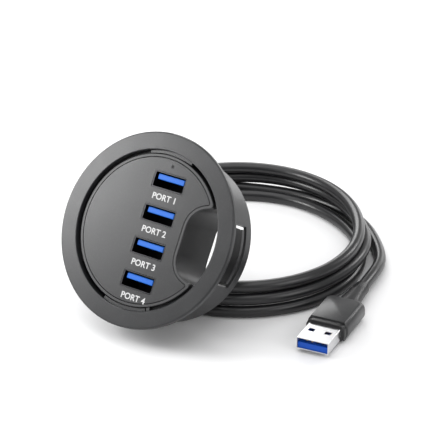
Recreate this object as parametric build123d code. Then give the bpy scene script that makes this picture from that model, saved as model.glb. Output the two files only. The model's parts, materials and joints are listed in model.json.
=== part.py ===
from build123d import *
import os
from math import cos, hypot, radians, sin, tan

os.makedirs("parts", exist_ok=True)

# A four-port USB hub for a 60 mm cable hole in a desk top. A round puck carries the sockets and the
# cable, and twist-locks into a flanged ring. All lengths are in millimetres, all angles in degrees.
# Hub pieces are drawn in the hub's own frame: Z out of the front face, Y up the face, X to the
# right, with Z = 0 on the underside of the flange. They are then leaned back and stood on the edge
# of the skirt, and the cable is laid out in that standing frame.

# ---------------------------------------------------------------- ring that sits in the desk hole
DESK_HOLE_DIA = 60.0
HOLE_CLEAR = 0.25           # radial gap between the skirt and the hole
SKIRT_WALL = 1.15
SKIRT_DEPTH = 21.0          # below the underside of the flange
FLANGE_DIA = 70.0
FLANGE_THICK = 2.0
FLANGE_TOP_ROUND = 0.6
FLANGE_FOOT_ROUND = 0.3
OPENING_ROUND = 0.3
SKIRT_END_CHAMFER = 0.3
BACK_LIP_HEIGHT = 0.8

# twist lock: two lugs in the ring's bore over a notched collar on the puck
LUG_ARC = 36.4
LUG_ANGLES = (88.8, 270.4)
LUG_THICK = 1.2
LUG_BELOW_TOP = 1.2
LUG_CLEAR = 0.3             # between a lug and the puck, all round
TWIST = 34.0                # turn from locked to free
NOTCH_ARC = 38.4
COLLAR_THICK = 2.0
RUNNING_CLEAR = 0.1         # radial, collar in the ring's bore
STOP_ARC = 2.6
STOP_GAP_ARC = 0.8

# spring tongue in a window of the skirt, and the soft pad on it
WINDOW_ANGLES = (-21.5, 22.5)
WINDOW_TOP = -3.2
WINDOW_LOW = -17.1
TONGUE_GAP_ARC = 2.6
TONGUE_GAP = 1.7            # at the tongue's free end
TONGUE_THICK = 0.5
TONGUE_RIM = 1.6
PAD_THICK = 0.5
PAD_GAP = 0.15

# ---------------------------------------------------------------- puck
PUCK_DIA = 54.5
FACE_RECESS = 0.84          # face below the top of the flange
FACE_THICK = 1.75
FACE_CHAMFER = 0.2
FACE_GAP = 0.15             # between the face and the housing's rim
FACE_CORNER = 0.6
RIM_WALL = 1.0              # housing's rim round the face
RIM_BELOW = 0.05            # top of the rim below the face
WALL = 1.6
PUCK_BACK_INSET = 0.5       # back of the puck inside the end of the skirt
COVER_THICK = 1.5
LIP_WALL = 0.9
LIP_HEIGHT = 1.4
FIT_GAP = 0.1               # lips in the housing, sockets in the board

# scallop that leaves a way for other cables on the right of the puck
SCALLOP_X = 14.8            # its flat wall, from the hub's axis
SCALLOP_TOP_Y = 11.0
SCALLOP_LOW_Y = -11.4
SCALLOP_TOP_FLARE = 20.0
SCALLOP_LOW_FLARE = 12.0
SCALLOP_ROUND = 8.0
MOUTH_ROUND = 1.2
SCALLOP_REACH = 24.0        # the cut runs this far past its flat wall

# ---------------------------------------------------------------- sockets
PORT_COUNT = 4
PORT_X = 2.9
PORT_PITCH = 12.1
PORT_WIDTH = 12.6           # inside the metal shell
PORT_HEIGHT = 5.2
PORT_DEPTH = 13.9
SHEET = 0.3
PORT_CORNER = 0.45
CUTOUT_GAP = 0.15
SHELL_PROUD = -0.1          # shell's edge from the face
TONGUE_WIDTH = 11.1
TONGUE_HEIGHT = 1.95
TONGUE_FROM_TOP = 0.5
TONGUE_SET_BACK = 0.8
BASE_LENGTH = 2.6
CONTACT_COUNT = 9
CONTACT_PITCH = 1.0
CONTACT_THICK = 0.25
BLADE_WIDTH = 0.7
PIN_WIDTH = 0.4
TAIL_LENGTH = 2.2
BLADE_SET_BACK = 1.5
PIN_SET_BACK = 6.0
LEG_WIDTH = 1.6
LEG_FROM_CENTRE = 1.2

# ---------------------------------------------------------------- board and what is on it
BOARD_THICK = 1.2
BOARD_GAP = 0.4
PIN_HOLE_R = 0.45
POST_R = 2.2
POST_SPOTS = ((-15.0, 11.0), (-15.0, -11.0))
BOSS_R = 2.4
BOSS_IN_WALL = 0.96         # how far a boss reaches into the side wall
BOSS_HEIGHT = 9.0
BOSS_ANGLES = (110.0, 189.0, 268.0)
SCREW_R = 0.9
SCREW_GAP = 0.05
SCREW_HOLE_GAP = 0.25
SCREW_HEAD_R = 1.9
SCREW_HEAD_HEIGHT = 0.85
SCREW_SOCKET_R = 0.75
SCREW_SOCKET_DEPTH = 0.5
BOARD_SCREW_LENGTH = 6.0
COVER_SCREW_LENGTH = 8.0
LIGHT_X = 2.5
LIGHT_Y = 23.7
LIGHT_R = 0.55
LIGHT_SET_BACK = 0.25
LIGHT_FOOT_R = 0.9
LIGHT_FOOT_HEIGHT = 0.8
LED_SIZE = (1.6, 0.8, 0.7)
CHIP_SIZE = (7.0, 7.0, 0.9)
CHIP_SPOT = (-15.0, 1.5)
CRYSTAL_SIZE = (3.2, 2.5, 0.8)
CRYSTAL_SPOT = (-8.0, -2.0)
REGULATOR_SIZE = (3.0, 1.7, 1.1)
REGULATOR_SPOT = (-8.5, 6.0)
CAPACITOR_SIZE = (0.8, 1.6, 0.8)
CAPACITOR_X = -6.0
RESISTOR_SIZE = (1.0, 0.5, 0.35)
RESISTOR_SPOTS = [(-20.5, 8.0 - 1.5 * step) for step in range(6)]
SOCKET_SIZE = (9.0, 4.4, 3.2)
SOCKET_SPOT = (-16.0, -6.6)
WIRE_R = 0.45
WIRE_COUNT = 5
WIRE_PITCH = 1.3
WIRE_BEND = 1.0
WIRE_ROOM = 1.9             # from the connector's board side to the wires' middle
WIRE_SEAT = 1.0             # depth of each wire's seat in the connector

# ---------------------------------------------------------------- cable
CORD_DIA = 4.5
GLAND_X = -16.0
GLAND_Y = 3.0
GLAND_LENGTH = 12.0
GLAND_ROOT_R = 3.7
GLAND_TIP_R = 2.85
GLAND_NECK_R = 3.2
GLAND_FLANGE_R = 4.3
GLAND_FLANGE_THICK = 1.2
LEAD_FIRST_RUN = 14.0
ARC_SHARE = 0.45            # part of a run that the bend at its end may use

# ---------------------------------------------------------------- plug on the cable's end
PLUG_WIDTH = 12.0
PLUG_HEIGHT = 4.5
PLUG_SHELL_LENGTH = 11.4
PLUG_ROOT = 2.0             # the shell's length inside the grip
PLUG_CORNER = 0.4
PLUG_WINDOW = (2.3, 2.0)
PLUG_WINDOW_X = 3.1
PLUG_WINDOW_Y = 6.6
PLUG_BLOCK_HEIGHT = 2.1
PLUG_BLOCK_SET_BACK = 0.5
GRIP_WIDTH = 15.4
GRIP_HEIGHT = 7.4
GRIP_LENGTH = 19.0
GRIP_SIDE_ROUND = 3.2
GRIP_PANEL = 0.2            # how proud the grip's flat panels stand
GRIP_PANEL_WIDTH = 12.4
GRIP_PANEL_START = 2.0
BOOT_LENGTH = 16.5
BOOT_ROOT = (8.6, 5.6)
BOOT_TIP_R = 2.9
BOOT_ROOT_ROUND = 2.6
BOOT_TIP_ROUND = 2.7

# ---------------------------------------------------------------- how it stands and lies
LEAN = 32.4                 # hub leaned back from upright
PLUG_TURN = 9.0             # plug turned about the vertical
PLUG_SPOT = (60.9, 5.1)     # middle of the shell's front edge
COIL_CENTRE = (-5.0, 56.0)
COIL_INNER_R = 39.8
COIL_OUTER_R = 54.2
COIL_TOP_INNER_R = 44.5
COIL_TOP_OUTER_R = 51.0
COIL_SHOULDER = 5.5
COIL_LAYERS = 3
COIL_CLEAR = 2.4            # between the coil and the hub's back
LEAD_POINTS = [
    (-22.0, 44.7, 8.0),
    (-32.3, 51.1, 3.6),
    (-39.2, 61.1, 2.3),
    (-40.3, 73.3, 2.3),
    (-35.8, 84.5, 2.3),
    (-27.5, 92.5, 2.3),
]
TAIL_FIRST_RUN = 11.0
TAIL_POINTS = [
    (48.4, 73.3, 2.7),
    (42.1, 82.9, 2.3),
    (34.5, 90.4, 2.3),
]

# ---------------------------------------------------------------- worked out from the above
skirt_r = DESK_HOLE_DIA / 2 - HOLE_CLEAR
bore_r = skirt_r - SKIRT_WALL
flange_r = FLANGE_DIA / 2
puck_r = PUCK_DIA / 2
collar_r = bore_r - RUNNING_CLEAR
lug_inner_r = puck_r + LUG_CLEAR
cord_r = CORD_DIA / 2

face_top = FLANGE_THICK - FACE_RECESS
face_low = face_top - FACE_THICK
rim_top = face_top - RIM_BELOW
lug_top = FLANGE_THICK - LUG_BELOW_TOP
lug_low = lug_top - LUG_THICK
collar_top = lug_low - LUG_CLEAR
puck_back = PUCK_BACK_INSET - SKIRT_DEPTH
cover_top = puck_back + COVER_THICK
shell_top = face_top + SHELL_PROUD
board_top = shell_top - PORT_DEPTH
board_low = board_top - BOARD_THICK

port_centres = [(PORT_X, ((PORT_COUNT - 1) / 2 - row) * PORT_PITCH) for row in range(PORT_COUNT)]
boss_ring = puck_r - WALL - BOSS_R + BOSS_IN_WALL
boss_spots = [(boss_ring * cos(radians(a)), boss_ring * sin(radians(a))) for a in BOSS_ANGLES]


def polar(radius, angle):
    """A point at a radius and an angle in the XY plane."""
    return (radius * cos(radians(angle)), radius * sin(radians(angle)))


def arc_block(inner, outer, start, end, low, high):
    """A piece of a ring between two radii, two angles and two heights."""
    reach = 2 * outer
    wedge = Polygon((0, 0), polar(reach, start), polar(reach, (start + end) / 2), polar(reach, end),
                    align=None)
    return extrude(Pos(0, 0, low) * ((Circle(outer) - Circle(inner)) & wedge), high - low)


def disc(radius, low, high, spot=(0, 0)):
    """A round bar along Z between two heights."""
    return extrude(Pos(spot[0], spot[1], low) * Circle(radius), high - low)


def block(size, spot, low):
    """A box standing on a height, centred over a spot."""
    return Pos(spot[0], spot[1], low + size[2] / 2) * Box(*size)


def scallop_cut(grow=0.0):
    """The flat region that the scallop takes out of the puck, grown by an amount all round."""
    reach = SCALLOP_REACH
    top_run = (SCALLOP_X + reach, SCALLOP_TOP_Y + reach * tan(radians(SCALLOP_TOP_FLARE)))
    low_run = (SCALLOP_X + reach, SCALLOP_LOW_Y - reach * tan(radians(SCALLOP_LOW_FLARE)))
    region = Polygon(top_run, (SCALLOP_X, SCALLOP_TOP_Y), (SCALLOP_X, SCALLOP_LOW_Y), low_run,
                     align=None)
    inner_corners = [v for v in region.vertices() if v.X < SCALLOP_X + 1]
    region = fillet(inner_corners, SCALLOP_ROUND)
    return offset(region, grow) if grow else region


def puck_outline(radius, inset=0.0, mouth=0.0):
    """The puck's outline, a circle with the scallop taken out, set in by an amount."""
    rim = radius - inset
    outline = Circle(rim) - scallop_cut(inset)
    if mouth:
        corners = [v for v in outline.vertices() if abs(hypot(v.X, v.Y) - rim) < 0.01]
        outline = fillet(corners, mouth)
    return outline


def slab(outline, low, high):
    """A flat outline raised between two heights."""
    return extrude(Pos(0, 0, low) * outline, high - low)


def screw(spot, under_head, length):
    """A pan-head screw whose shank runs along Z from the underside of its head."""
    shank = disc(SCREW_R, 0, length)
    head = disc(SCREW_HEAD_R, -SCREW_HEAD_HEIGHT, 0)
    socket = extrude(Pos(0, 0, -SCREW_HEAD_HEIGHT) * RegularPolygon(SCREW_SOCKET_R, 6),
                     SCREW_SOCKET_DEPTH)
    return Pos(spot[0], spot[1], under_head) * (head + shank - socket)


def make_ring():
    """Flange and skirt, with the lugs, the window and the spring tongue."""
    profile = Polygon((bore_r, -SKIRT_DEPTH), (skirt_r, -SKIRT_DEPTH), (skirt_r, 0), (flange_r, 0),
                      (flange_r, FLANGE_THICK), (bore_r, FLANGE_THICK), align=None)

    def corner(radius, height):
        return [v for v in profile.vertices() if hypot(v.X - radius, v.Y - height) < 0.01]

    profile = fillet(corner(flange_r, FLANGE_THICK), FLANGE_TOP_ROUND)
    profile = fillet(corner(flange_r, 0), FLANGE_FOOT_ROUND)
    profile = fillet(corner(bore_r, FLANGE_THICK), OPENING_ROUND)
    profile = chamfer(corner(skirt_r, -SKIRT_DEPTH), SKIRT_END_CHAMFER)
    ring = revolve(Plane.XZ * profile, Axis.Z)
    ring += (disc(bore_r + FIT_GAP, -SKIRT_DEPTH, BACK_LIP_HEIGHT - SKIRT_DEPTH)
             - disc(lug_inner_r, -SKIRT_DEPTH, BACK_LIP_HEIGHT - SKIRT_DEPTH))
    for angle in LUG_ANGLES:
        ring += arc_block(lug_inner_r, bore_r + FIT_GAP, angle - LUG_ARC / 2, angle + LUG_ARC / 2,
                          lug_low, lug_top)
    start, end = WINDOW_ANGLES
    ring -= arc_block(bore_r - 1, skirt_r + 1, start, end, WINDOW_LOW, WINDOW_TOP)
    tongue_start = start + TONGUE_GAP_ARC
    tongue_end = end - TONGUE_GAP_ARC
    tongue_low = WINDOW_LOW + TONGUE_GAP
    ring += arc_block(bore_r, bore_r + TONGUE_THICK, tongue_start, tongue_end, tongue_low,
                      WINDOW_TOP + FIT_GAP)
    ring += arc_block(bore_r, skirt_r, tongue_start, tongue_end, tongue_low, tongue_low + TONGUE_RIM)
    return ring


def make_pad():
    """The soft pad on the spring tongue, between its rim and its root."""
    start, end = WINDOW_ANGLES
    inner = bore_r + TONGUE_THICK
    low = WINDOW_LOW + TONGUE_GAP + TONGUE_RIM + PAD_GAP
    return arc_block(inner, inner + PAD_THICK, start + TONGUE_GAP_ARC, end - TONGUE_GAP_ARC, low,
                     WINDOW_TOP - PAD_GAP)


def port_frame(centre, grow):
    """The outline of a socket's shell, grown by an amount."""
    width = PORT_WIDTH + 2 * SHEET + 2 * grow
    height = PORT_HEIGHT + 2 * SHEET + 2 * grow
    return Pos(*centre) * RectangleRounded(width, height, PORT_CORNER + grow)


def make_face():
    """Front plate inside the housing's rim, with the openings, a locating lip and two posts."""
    plate = slab(puck_outline(puck_r, RIM_WALL + FACE_GAP, FACE_CORNER), face_low, face_top)
    plate = chamfer(plate.faces().sort_by(Axis.Z)[-1].edges(), FACE_CHAMFER)
    lip_inset = WALL + FIT_GAP
    lip_low = face_low - LIP_HEIGHT
    lip = puck_outline(puck_r, lip_inset) - puck_outline(puck_r, lip_inset + LIP_WALL)
    plate += slab(lip, lip_low, face_low)
    for centre in port_centres:
        plate -= slab(port_frame(centre, CUTOUT_GAP), lip_low, face_top)
    plate -= disc(LIGHT_R + SCREW_GAP, lip_low, face_top, (LIGHT_X, LIGHT_Y))
    for spot in POST_SPOTS:
        plate += disc(POST_R, board_top, face_low, spot)
        plate -= disc(SCREW_R + SCREW_GAP, board_top, board_top + BOARD_SCREW_LENGTH, spot)
    return plate


def make_housing():
    """Side wall with a rim round the face, the notched locking collar and the screw bosses."""
    cavity = puck_outline(puck_r, WALL)
    wall = slab(puck_outline(puck_r, 0, MOUTH_ROUND), cover_top, rim_top)
    wall = chamfer(wall.faces().sort_by(Axis.Z)[-1].edges(), FACE_CHAMFER)
    wall -= slab(puck_outline(puck_r, RIM_WALL, FACE_CORNER + FACE_GAP), face_low, rim_top)
    wall -= slab(cavity, cover_top, face_low)
    collar = slab(puck_outline(collar_r, 0, MOUTH_ROUND) - cavity, collar_top - COLLAR_THICK,
                  collar_top)
    for angle in LUG_ANGLES:
        middle = angle - TWIST
        collar -= arc_block(puck_r, collar_r + 1, middle - NOTCH_ARC / 2, middle + NOTCH_ARC / 2,
                            collar_top - COLLAR_THICK, collar_top)
    housing = wall + collar
    stop_start = LUG_ANGLES[1] + LUG_ARC / 2 + STOP_GAP_ARC
    housing += arc_block(puck_r + FIT_GAP, collar_r - FIT_GAP, stop_start, stop_start + STOP_ARC,
                         collar_top - FIT_GAP, lug_top - FIT_GAP)
    for spot in boss_spots:
        boss = disc(BOSS_R, cover_top, cover_top + BOSS_HEIGHT, spot)
        housing += boss & slab(puck_outline(puck_r), cover_top, face_low)
        housing -= disc(SCREW_R + SCREW_GAP, cover_top, cover_top + COVER_SCREW_LENGTH, spot)
    return housing


def make_cover():
    """Back plate with a locating lip, three screw holes and the hole for the gland."""
    cover = slab(puck_outline(puck_r, 0, MOUTH_ROUND), puck_back, cover_top)
    cover = chamfer(cover.faces().sort_by(Axis.Z)[0].edges(), FACE_CHAMFER)
    lip_inset = WALL + FIT_GAP
    lip = slab(puck_outline(puck_r, lip_inset) - puck_outline(puck_r, lip_inset + LIP_WALL),
               cover_top, cover_top + LIP_HEIGHT)
    for spot in boss_spots:
        lip -= disc(BOSS_R + BOARD_GAP, cover_top, cover_top + LIP_HEIGHT, spot)
    cover += lip
    for spot in boss_spots:
        cover -= disc(SCREW_R + SCREW_HOLE_GAP, puck_back, cover_top, spot)
        cover -= disc(SCREW_HEAD_R + SCREW_HOLE_GAP, puck_back, puck_back + SCREW_HEAD_HEIGHT, spot)
    cover -= disc(GLAND_NECK_R, puck_back, cover_top, (GLAND_X, GLAND_Y))
    return cover


def make_shell(centre):
    """Metal shell of one socket, with two legs through the board."""
    outside = port_frame(centre, 0)
    inside = Pos(*centre) * RectangleRounded(PORT_WIDTH, PORT_HEIGHT, PORT_CORNER - SHEET / 2)
    shell = slab(outside - inside, board_top, shell_top)
    for side in (-1, 1):
        spot = (centre[0] + side * (PORT_WIDTH + SHEET) / 2, centre[1] - LEG_FROM_CENTRE)
        shell += block((SHEET, LEG_WIDTH, TAIL_LENGTH), spot, board_top - TAIL_LENGTH)
    return shell


def contact_bars():
    """The nine contacts of a socket or plug as (x offset, width, set back)."""
    bars = []
    for place in range(CONTACT_COUNT):
        offset_x = (place - (CONTACT_COUNT - 1) / 2) * CONTACT_PITCH
        if place % 2:
            bars.append((offset_x, BLADE_WIDTH, BLADE_SET_BACK))
        else:
            bars.append((offset_x, PIN_WIDTH, PIN_SET_BACK))
    return bars


def contact_y(centre):
    """Height on the face of the contacts, on the underside of a socket's tongue."""
    tongue_low = centre[1] + PORT_HEIGHT / 2 - TONGUE_FROM_TOP - TONGUE_HEIGHT
    return tongue_low + CONTACT_THICK / 2


def make_contacts(centre):
    """Nine straight contacts that run along the tongue and down through the board."""
    solids = []
    for offset_x, width, set_back in contact_bars():
        spot = (centre[0] + offset_x, contact_y(centre))
        top = shell_top - set_back
        solids.append(block((width, CONTACT_THICK, top - board_top), spot, board_top))
        solids[-1] += block((PIN_WIDTH, CONTACT_THICK, TAIL_LENGTH), spot, board_top - TAIL_LENGTH)
    return Compound(children=solids)


def make_tongue(centre, contacts):
    """Moulded insulator of one socket: a base on the board and the tongue that stands on it."""
    tongue_y = centre[1] + PORT_HEIGHT / 2 - TONGUE_FROM_TOP - TONGUE_HEIGHT / 2
    tongue_top = shell_top - TONGUE_SET_BACK
    tongue = block((TONGUE_WIDTH, TONGUE_HEIGHT, tongue_top - board_top), (centre[0], tongue_y),
                   board_top)
    front = tongue.faces().sort_by(Axis.Z)[-1].edges()
    tongue = chamfer(front, FACE_CHAMFER)
    width = PORT_WIDTH - 2 * FIT_GAP
    height = PORT_HEIGHT - 2 * FIT_GAP
    tongue += block((width, height, BASE_LENGTH), centre, board_top)
    for contact in contacts.solids():
        tongue -= contact
    return tongue


def make_board():
    """Circuit board cut round the bosses, with the holes for sockets and screws."""
    board = slab(puck_outline(puck_r, WALL + BOARD_GAP), board_low, board_top)
    for spot in boss_spots:
        board -= disc(BOSS_R + BOARD_GAP, board_low, board_top, spot)
    for spot in POST_SPOTS:
        board -= disc(SCREW_R + SCREW_HOLE_GAP, board_low, board_top, spot)
    for centre in port_centres:
        for offset_x, width, set_back in contact_bars():
            board -= disc(PIN_HOLE_R, board_low, board_top, (centre[0] + offset_x, contact_y(centre)))
        for side in (-1, 1):
            spot = (centre[0] + side * (PORT_WIDTH + SHEET) / 2, centre[1] - LEG_FROM_CENTRE)
            size = (SHEET + 2 * FIT_GAP, LEG_WIDTH + 2 * FIT_GAP, BOARD_THICK)
            board -= block(size, spot, board_low)
    return board


def under_board(size, spot):
    """A small part soldered to the back of the board."""
    return block(size, spot, board_low - size[2])


def make_connector():
    """Wire-to-board connector, with a seat cut for each wire."""
    body = under_board(SOCKET_SIZE, SOCKET_SPOT)
    side_y = SOCKET_SPOT[1] + SOCKET_SIZE[1] / 2
    for x in wire_places():
        seat = Pos(x, side_y, board_low - WIRE_ROOM) * Rot(90, 0, 0) * Cylinder(WIRE_R, 2 * WIRE_SEAT)
        body -= seat
    return body


def wire_places():
    """X of each wire between the gland and the connector."""
    return [GLAND_X + (place - (WIRE_COUNT - 1) / 2) * WIRE_PITCH for place in range(WIRE_COUNT)]


def make_wires():
    """The cable's cores, from the gland's inner end to the connector."""
    start_z = cover_top + GLAND_FLANGE_THICK
    level = board_low - WIRE_ROOM
    end_y = SOCKET_SPOT[1] + SOCKET_SIZE[1] / 2 - WIRE_SEAT
    wires = []
    for x in wire_places():
        path = FilletPolyline((x, GLAND_Y, start_z), (x, GLAND_Y, level), (x, end_y, level),
                              radius=WIRE_BEND)
        section = Plane(origin=(x, GLAND_Y, start_z), z_dir=(0, 0, 1)) * Circle(WIRE_R)
        wires.append(sweep(section, path=path))
    return Compound(children=wires)


def make_gland():
    """Strain relief: flange inside the cover, neck through it, tapered sleeve outside."""
    spot = (GLAND_X, GLAND_Y)
    flange = disc(GLAND_FLANGE_R, cover_top, cover_top + GLAND_FLANGE_THICK, spot)
    neck = disc(GLAND_NECK_R, puck_back, cover_top, spot)
    middle = Pos(GLAND_X, GLAND_Y, puck_back - GLAND_LENGTH / 2)
    sleeve = middle * Cone(GLAND_TIP_R, GLAND_ROOT_R, GLAND_LENGTH)
    return flange + neck + sleeve


def make_tube(points):
    """A cable along straight runs joined by the largest arcs that its runs allow."""
    runs = [Vector(*b) - Vector(*a) for a, b in zip(points, points[1:])]
    radii = []
    for before, after in zip(runs, runs[1:]):
        half_turn = radians(before.get_angle(after)) / 2
        radii.append(ARC_SHARE * min(before.length, after.length) / tan(half_turn))
    path = FilletPolyline(*points, radius=radii)
    section = Plane(origin=points[0], z_dir=runs[0]) * Circle(cord_r)
    tube = sweep(section, path=path)
    print("cable radii", [round(r, 1) for r in radii], "length", round(path.length, 1),
          "volume", round(tube.volume, 1), "from section", round(section.area * path.length, 1))
    return tube


def make_coil(hub_back):
    """Outer shape of the coil: a ring of three layers, cut clear of the hub's back."""
    height = COIL_LAYERS * CORD_DIA
    profile = Polygon((COIL_INNER_R, 0), (COIL_OUTER_R, 0), (COIL_OUTER_R, COIL_SHOULDER),
                      (COIL_TOP_OUTER_R, height), (COIL_TOP_INNER_R, height),
                      (COIL_INNER_R, COIL_SHOULDER), align=None)
    coil = Pos(COIL_CENTRE[0], COIL_CENTRE[1], 0) * revolve(Plane.XZ * profile, Axis.Z)
    keep_off = hub_back.offset(-COIL_CLEAR)
    size = 4 * COIL_OUTER_R
    return coil - keep_off * Pos(0, 0, size / 2) * Box(size, size, size)


def plug_block(width, height, start, length, middle, corner):
    """A rounded bar along the plug, from a start for a length, at a middle height."""
    outline = Plane(origin=(0, start, middle), x_dir=(1, 0, 0), z_dir=(0, 1, 0))
    return extrude(outline * RectangleRounded(width, height, corner), length)


def make_plug():
    """The plug's pieces in its own frame: Y from the shell's mouth to the boot, Z up."""
    middle = GRIP_HEIGHT / 2 + GRIP_PANEL
    shell_end = PLUG_SHELL_LENGTH + PLUG_ROOT
    shell = plug_block(PLUG_WIDTH, PLUG_HEIGHT, 0, shell_end, middle, PLUG_CORNER)
    bore = plug_block(PLUG_WIDTH - 2 * SHEET, PLUG_HEIGHT - 2 * SHEET, 0, shell_end, middle,
                      PLUG_CORNER - SHEET)
    shell -= bore
    for side in (-1, 1):
        window = (PLUG_WINDOW[0], PLUG_WINDOW[1], GRIP_HEIGHT)
        shell -= block(window, (side * PLUG_WINDOW_X, PLUG_WINDOW_Y), middle - GRIP_HEIGHT / 2)

    floor = middle - PLUG_HEIGHT / 2 + SHEET
    block_width = PLUG_WIDTH - 2 * SHEET - 2 * FIT_GAP
    block_length = shell_end - PLUG_BLOCK_SET_BACK
    insulator = block((block_width, block_length, PLUG_BLOCK_HEIGHT),
                      (0, PLUG_BLOCK_SET_BACK + block_length / 2), floor)
    contacts = []
    for offset_x, width, set_back in contact_bars():
        start = PLUG_BLOCK_SET_BACK + set_back
        length = shell_end - start
        contacts.append(block((width, length, CONTACT_THICK), (offset_x, start + length / 2),
                              floor + PLUG_BLOCK_HEIGHT - CONTACT_THICK))
    for contact in contacts:
        insulator -= contact

    grip = plug_block(GRIP_WIDTH, GRIP_HEIGHT, PLUG_SHELL_LENGTH, GRIP_LENGTH, middle,
                      GRIP_SIDE_ROUND)
    panel_length = GRIP_LENGTH - GRIP_PANEL_START
    panel = block((GRIP_PANEL_WIDTH, panel_length, 2 * middle),
                  (0, PLUG_SHELL_LENGTH + GRIP_PANEL_START + panel_length / 2), 0)
    grip += panel
    grip -= plug_block(PLUG_WIDTH, PLUG_HEIGHT, PLUG_SHELL_LENGTH, PLUG_ROOT, middle, PLUG_CORNER)

    boot_start = PLUG_SHELL_LENGTH + GRIP_LENGTH
    root = Plane(origin=(0, boot_start, middle), x_dir=(1, 0, 0), z_dir=(0, 1, 0))
    tip = Plane(origin=(0, boot_start + BOOT_LENGTH, middle), x_dir=(1, 0, 0), z_dir=(0, 1, 0))
    boot = loft([root * RectangleRounded(BOOT_ROOT[0], BOOT_ROOT[1], BOOT_ROOT_ROUND),
                 tip * RectangleRounded(2 * BOOT_TIP_R, 2 * BOOT_TIP_R, BOOT_TIP_ROUND)])
    pieces = {
        "plug_shell": shell,
        "plug_insulator": insulator,
        "plug_contacts": Compound(children=contacts),
        "plug_grip": grip,
        "plug_boot": boot,
    }
    return pieces, (0, boot_start + BOOT_LENGTH, middle)


# ---------------------------------------------------------------- hub pieces, in the hub's frame
hub = {
    "grommet_ring": make_ring(),
    "grip_pad": make_pad(),
    "port_face": make_face(),
    "hub_housing": make_housing(),
    "back_cover": make_cover(),
    "circuit_board": make_board(),
    "hub_controller": under_board(CHIP_SIZE, CHIP_SPOT),
    "clock_crystal": under_board(CRYSTAL_SIZE, CRYSTAL_SPOT),
    "voltage_regulator": under_board(REGULATOR_SIZE, REGULATOR_SPOT),
    "capacitors": Compound(children=[under_board(CAPACITOR_SIZE, (CAPACITOR_X, centre[1]))
                                     for centre in port_centres]),
    "resistors": Compound(children=[under_board(RESISTOR_SIZE, spot) for spot in RESISTOR_SPOTS]),
    "cable_connector": make_connector(),
    "cable_wires": make_wires(),
    "cord_gland": make_gland(),
    "status_led": block(LED_SIZE, (LIGHT_X, LIGHT_Y), board_top),
    "board_screws": Compound(children=[screw(spot, board_low, BOARD_SCREW_LENGTH)
                                       for spot in POST_SPOTS]),
    "cover_screws": Compound(children=[screw(spot, puck_back + SCREW_HEAD_HEIGHT,
                                             COVER_SCREW_LENGTH) for spot in boss_spots]),
}
for number, centre in enumerate(port_centres, 1):
    contacts = make_contacts(centre)
    hub[f"port_{number}_shell"] = make_shell(centre)
    hub[f"port_{number}_contacts"] = contacts
    hub[f"port_{number}_tongue"] = make_tongue(centre, contacts)

light_low = board_top + LED_SIZE[2] + FIT_GAP
hub["status_light_pipe"] = (
    disc(LIGHT_R, light_low, face_top - LIGHT_SET_BACK, (LIGHT_X, LIGHT_Y))
    + disc(LIGHT_FOOT_R, light_low, light_low + LIGHT_FOOT_HEIGHT, (LIGHT_X, LIGHT_Y)))

# ---------------------------------------------------------------- stand the hub up
lean = Rot(90 - LEAN, 0, 0)
leaned = (lean * hub["grommet_ring"]).bounding_box()
stand = Pos(-leaned.center().X, -leaned.center().Y, -leaned.min.Z) * lean
parts = {name: stand * piece for name, piece in hub.items()}

gland_end = stand * Pos(GLAND_X, GLAND_Y, puck_back - GLAND_LENGTH)
way_out = Plane(gland_end).z_dir * -1
lead_start = Vector(*gland_end.position)
lead_turn = lead_start + way_out * LEAD_FIRST_RUN
parts["cord_lead"] = make_tube([tuple(lead_start), tuple(lead_turn)] + LEAD_POINTS)

hub_back = Plane(stand * Pos(0, 0, -SKIRT_DEPTH))
parts["cord_coil"] = make_coil(hub_back)

plug, cord_entry = make_plug()
lay = Pos(PLUG_SPOT[0], PLUG_SPOT[1], 0) * Rot(0, 0, PLUG_TURN)
for name, piece in plug.items():
    parts[name] = lay * piece
tail_start = (lay * Pos(*cord_entry)).position
tail_turn = tail_start + Plane(lay).y_dir * TAIL_FIRST_RUN
parts["cord_tail"] = make_tube([tuple(tail_start), tuple(tail_turn)] + TAIL_POINTS)

print("hub stands at", leaned.center(), leaned.min.Z, "gland end", lead_start, "cord entry", tail_start)
for name, piece in parts.items():
    export_step(piece, f"parts/{name}.step")
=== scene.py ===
"""Looks of a desk-grommet USB hub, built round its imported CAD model.

The hub leans back on the edge of its skirt, with its cable coiled behind it and the plug in front
on the right. CAD pieces keep their shapes and get a finish. The cable, the strain reliefs, the
plug's grip, the printed labels and the mouldings' small details are made here.
"""

import json
import logging
import math
from dataclasses import dataclass
from enum import Enum
from typing import Callable, Sequence

import bmesh
import bpy
from mathutils import Matrix, Vector


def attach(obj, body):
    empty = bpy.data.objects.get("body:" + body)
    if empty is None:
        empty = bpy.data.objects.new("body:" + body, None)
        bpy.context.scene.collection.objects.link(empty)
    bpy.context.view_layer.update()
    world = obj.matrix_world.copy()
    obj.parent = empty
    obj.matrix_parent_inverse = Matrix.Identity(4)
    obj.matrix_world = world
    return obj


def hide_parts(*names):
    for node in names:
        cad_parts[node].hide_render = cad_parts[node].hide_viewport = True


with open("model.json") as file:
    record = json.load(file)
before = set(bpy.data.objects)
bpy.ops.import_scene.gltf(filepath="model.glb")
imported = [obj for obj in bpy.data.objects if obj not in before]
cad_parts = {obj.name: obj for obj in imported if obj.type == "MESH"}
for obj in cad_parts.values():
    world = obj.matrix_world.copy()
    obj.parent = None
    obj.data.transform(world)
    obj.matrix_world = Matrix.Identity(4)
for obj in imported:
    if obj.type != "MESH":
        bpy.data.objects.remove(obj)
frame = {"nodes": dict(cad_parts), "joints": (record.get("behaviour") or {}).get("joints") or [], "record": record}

LOG = logging.getLogger("hub")
MM = 0.001
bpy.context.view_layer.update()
PORTS = (1, 2, 3, 4)
Colour = tuple[float, float, float]
Point = tuple[float, float, float]

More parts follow.
